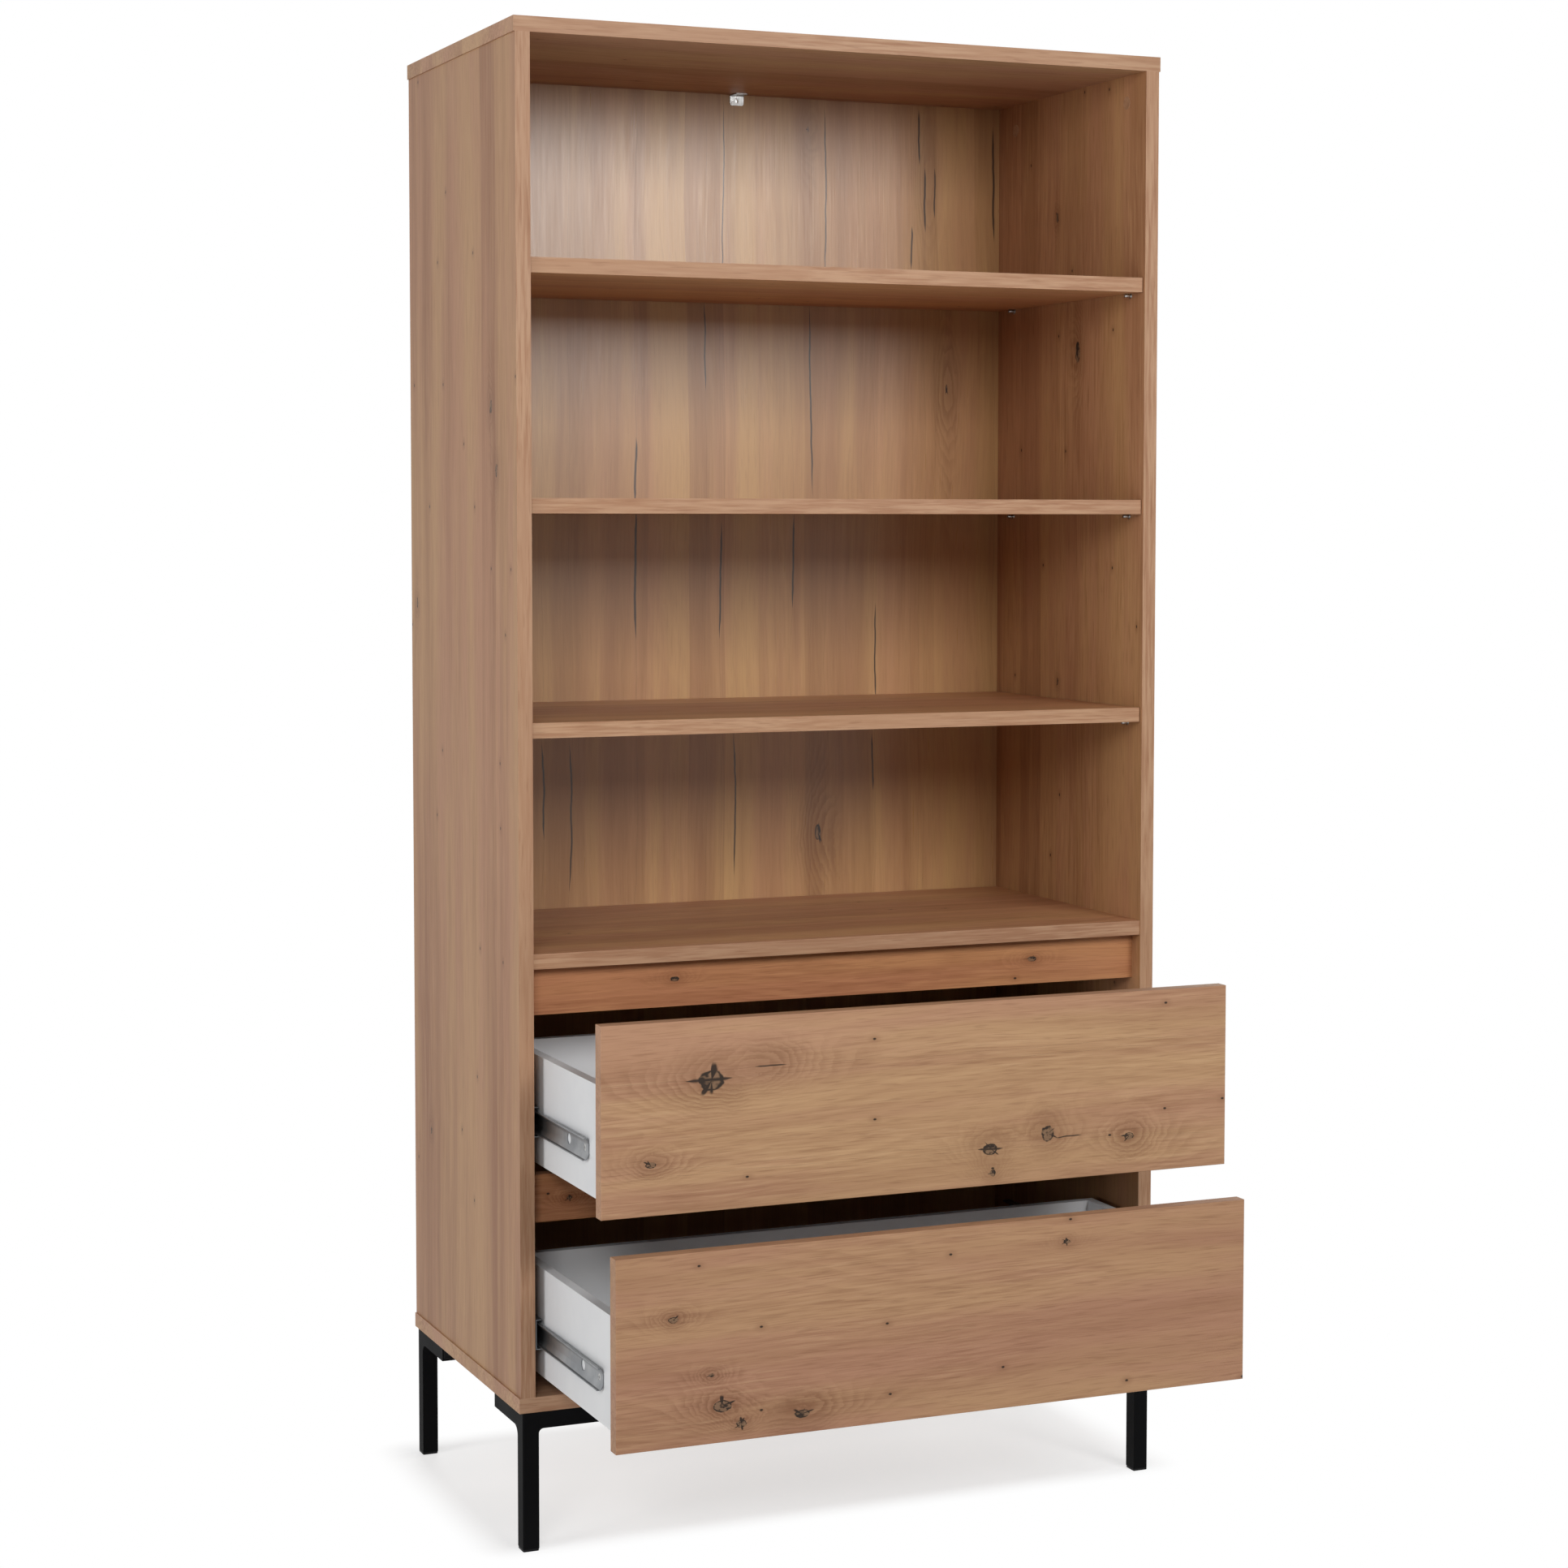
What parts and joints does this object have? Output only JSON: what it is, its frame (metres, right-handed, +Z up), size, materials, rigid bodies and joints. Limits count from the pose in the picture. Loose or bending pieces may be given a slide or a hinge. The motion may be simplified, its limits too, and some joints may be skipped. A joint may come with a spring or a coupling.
{
  "type": "bookcase with bottom drawers",
  "caption": "Tall open bookcase with loose shelves over two handle-less drawers on ball-bearing slides, standing on black steel corner legs.",
  "frame": {"origin": "on the floor, in the middle of the bookcase's footprint with both drawers pulled out as at rest", "axes": "+X to the right seen from the front, +Y to the back, +Z up"},
  "size_m": [0.85, 0.707, 1.8],
  "materials": {
    "oak_foil": "oak-look foil on chipboard, matt",
    "oak_back": "oak-look printed thin board, satin",
    "white_board": "white melamine on chipboard, satin",
    "black_steel": "black powder coat, matt",
    "black_plastic": "moulded black plastic",
    "zinc_slide": "zinc-plated rolled steel",
    "zinc_fitting": "zinc-plated, smooth",
    "zinc_bracket": "bright zinc-plated sheet",
    "beech": "fluted beech dowel",
    "cap_foil": "oak-look cover cap"
  },
  "bodies": {
    "cabinet": {"top_panel": "oak_foil", "bottom_panel": "oak_foil", "left_side_panel": "oak_foil", "right_side_panel": "oak_foil", "back_panel": "oak_back", "fixed_shelf": "oak_foil", "lower_shelf": "oak_foil", "middle_shelf": "oak_foil", "upper_shelf": "oak_foil", "upper_rail": "oak_foil", "middle_rail": "oak_foil", "front_left_leg": "black_steel", "front_right_leg": "black_steel", "rear_left_leg": "black_steel", "rear_right_leg": "black_steel", "foot_glides": "black_plastic", "arm_end_plugs": "black_plastic", "leg_screws": "zinc_fitting", "shelf_pins": "zinc_fitting", "carcass_dowels": "beech", "cam_fittings": "zinc_fitting", "cam_cover_caps": "cap_foil", "carcass_screws": "zinc_fitting", "wall_bracket": "zinc_bracket", "upper_left_cabinet_member": "zinc_slide", "upper_right_cabinet_member": "zinc_slide", "lower_left_cabinet_member": "zinc_slide", "lower_right_cabinet_member": "zinc_slide"},
    "upper_drawer": {"upper_drawer_front": "oak_foil", "upper_drawer_left_side": "white_board", "upper_drawer_right_side": "white_board", "upper_drawer_back": "white_board", "upper_drawer_bottom": "white_board", "upper_drawer_dowels": "beech", "upper_drawer_cams": "zinc_fitting", "upper_drawer_screws": "zinc_fitting", "upper_left_drawer_member": "zinc_slide", "upper_right_drawer_member": "zinc_slide"},
    "upper_left_middle_member_body": {"upper_left_middle_member": "zinc_slide"},
    "upper_left_outer_ball_cage_body": {"upper_left_outer_ball_cage": "zinc_slide"},
    "upper_left_inner_ball_cage_body": {"upper_left_inner_ball_cage": "zinc_slide"},
    "upper_right_middle_member_body": {"upper_right_middle_member": "zinc_slide"},
    "upper_right_outer_ball_cage_body": {"upper_right_outer_ball_cage": "zinc_slide"},
    "upper_right_inner_ball_cage_body": {"upper_right_inner_ball_cage": "zinc_slide"},
    "lower_drawer": {"lower_drawer_front": "oak_foil", "lower_drawer_left_side": "white_board", "lower_drawer_right_side": "white_board", "lower_drawer_back": "white_board", "lower_drawer_bottom": "white_board", "lower_drawer_dowels": "beech", "lower_drawer_cams": "zinc_fitting", "lower_drawer_screws": "zinc_fitting", "lower_left_drawer_member": "zinc_slide", "lower_right_drawer_member": "zinc_slide"},
    "lower_left_middle_member_body": {"lower_left_middle_member": "zinc_slide"},
    "lower_left_outer_ball_cage_body": {"lower_left_outer_ball_cage": "zinc_slide"},
    "lower_left_inner_ball_cage_body": {"lower_left_inner_ball_cage": "zinc_slide"},
    "lower_right_middle_member_body": {"lower_right_middle_member": "zinc_slide"},
    "lower_right_outer_ball_cage_body": {"lower_right_outer_ball_cage": "zinc_slide"},
    "lower_right_inner_ball_cage_body": {"lower_right_inner_ball_cage": "zinc_slide"}
  },
  "joints": [
    {"name": "upper_drawer_slide", "type": "slide", "parent": "cabinet", "child": "upper_drawer", "axis": [0, -1, 0], "range_m": [-0.2203, 0.0797]},
    {"name": "upper_left_middle_member_slide", "type": "slide", "parent": "cabinet", "child": "upper_left_middle_member_body", "axis": [0, -1, 0], "range_m": [-0.04416, 0.01604]},
    {"name": "upper_left_outer_ball_cage_slide", "type": "slide", "parent": "cabinet", "child": "upper_left_outer_ball_cage_body", "axis": [0, -1, 0], "range_m": [-0.02213, 0.00807]},
    {"name": "upper_left_inner_ball_cage_slide", "type": "slide", "parent": "cabinet", "child": "upper_left_inner_ball_cage_body", "axis": [0, -1, 0], "range_m": [-0.13228, 0.04792]},
    {"name": "upper_right_middle_member_slide", "type": "slide", "parent": "cabinet", "child": "upper_right_middle_member_body", "axis": [0, -1, 0], "range_m": [-0.04416, 0.01604]},
    {"name": "upper_right_outer_ball_cage_slide", "type": "slide", "parent": "cabinet", "child": "upper_right_outer_ball_cage_body", "axis": [0, -1, 0], "range_m": [-0.02213, 0.00807]},
    {"name": "upper_right_inner_ball_cage_slide", "type": "slide", "parent": "cabinet", "child": "upper_right_inner_ball_cage_body", "axis": [0, -1, 0], "range_m": [-0.13228, 0.04792]},
    {"name": "lower_drawer_slide", "type": "slide", "parent": "cabinet", "child": "lower_drawer", "axis": [0, -1, 0], "range_m": [-0.267, 0.033]},
    {"name": "lower_left_middle_member_slide", "type": "slide", "parent": "cabinet", "child": "lower_left_middle_member_body", "axis": [0, -1, 0], "range_m": [-0.0535, 0.0067]},
    {"name": "lower_left_outer_ball_cage_slide", "type": "slide", "parent": "cabinet", "child": "lower_left_outer_ball_cage_body", "axis": [0, -1, 0], "range_m": [-0.0268, 0.0034]},
    {"name": "lower_left_inner_ball_cage_slide", "type": "slide", "parent": "cabinet", "child": "lower_left_inner_ball_cage_body", "axis": [0, -1, 0], "range_m": [-0.1603, 0.0199]},
    {"name": "lower_right_middle_member_slide", "type": "slide", "parent": "cabinet", "child": "lower_right_middle_member_body", "axis": [0, -1, 0], "range_m": [-0.0535, 0.0067]},
    {"name": "lower_right_outer_ball_cage_slide", "type": "slide", "parent": "cabinet", "child": "lower_right_outer_ball_cage_body", "axis": [0, -1, 0], "range_m": [-0.0268, 0.0034]},
    {"name": "lower_right_inner_ball_cage_slide", "type": "slide", "parent": "cabinet", "child": "lower_right_inner_ball_cage_body", "axis": [0, -1, 0], "range_m": [-0.1603, 0.0199]}
  ],
  "couplings": [
    {"joint": "upper_left_middle_member_slide", "follows": "upper_drawer_slide", "ratio": 0.2},
    {"joint": "upper_left_outer_ball_cage_slide", "follows": "upper_drawer_slide", "ratio": 0.1},
    {"joint": "upper_left_inner_ball_cage_slide", "follows": "upper_drawer_slide", "ratio": 0.6},
    {"joint": "upper_right_middle_member_slide", "follows": "upper_drawer_slide", "ratio": 0.2},
    {"joint": "upper_right_outer_ball_cage_slide", "follows": "upper_drawer_slide", "ratio": 0.1},
    {"joint": "upper_right_inner_ball_cage_slide", "follows": "upper_drawer_slide", "ratio": 0.6},
    {"joint": "lower_left_middle_member_slide", "follows": "lower_drawer_slide", "ratio": 0.2},
    {"joint": "lower_left_outer_ball_cage_slide", "follows": "lower_drawer_slide", "ratio": 0.1},
    {"joint": "lower_left_inner_ball_cage_slide", "follows": "lower_drawer_slide", "ratio": 0.6},
    {"joint": "lower_right_middle_member_slide", "follows": "lower_drawer_slide", "ratio": 0.2},
    {"joint": "lower_right_outer_ball_cage_slide", "follows": "lower_drawer_slide", "ratio": 0.1},
    {"joint": "lower_right_inner_ball_cage_slide", "follows": "lower_drawer_slide", "ratio": 0.6}
  ]
}
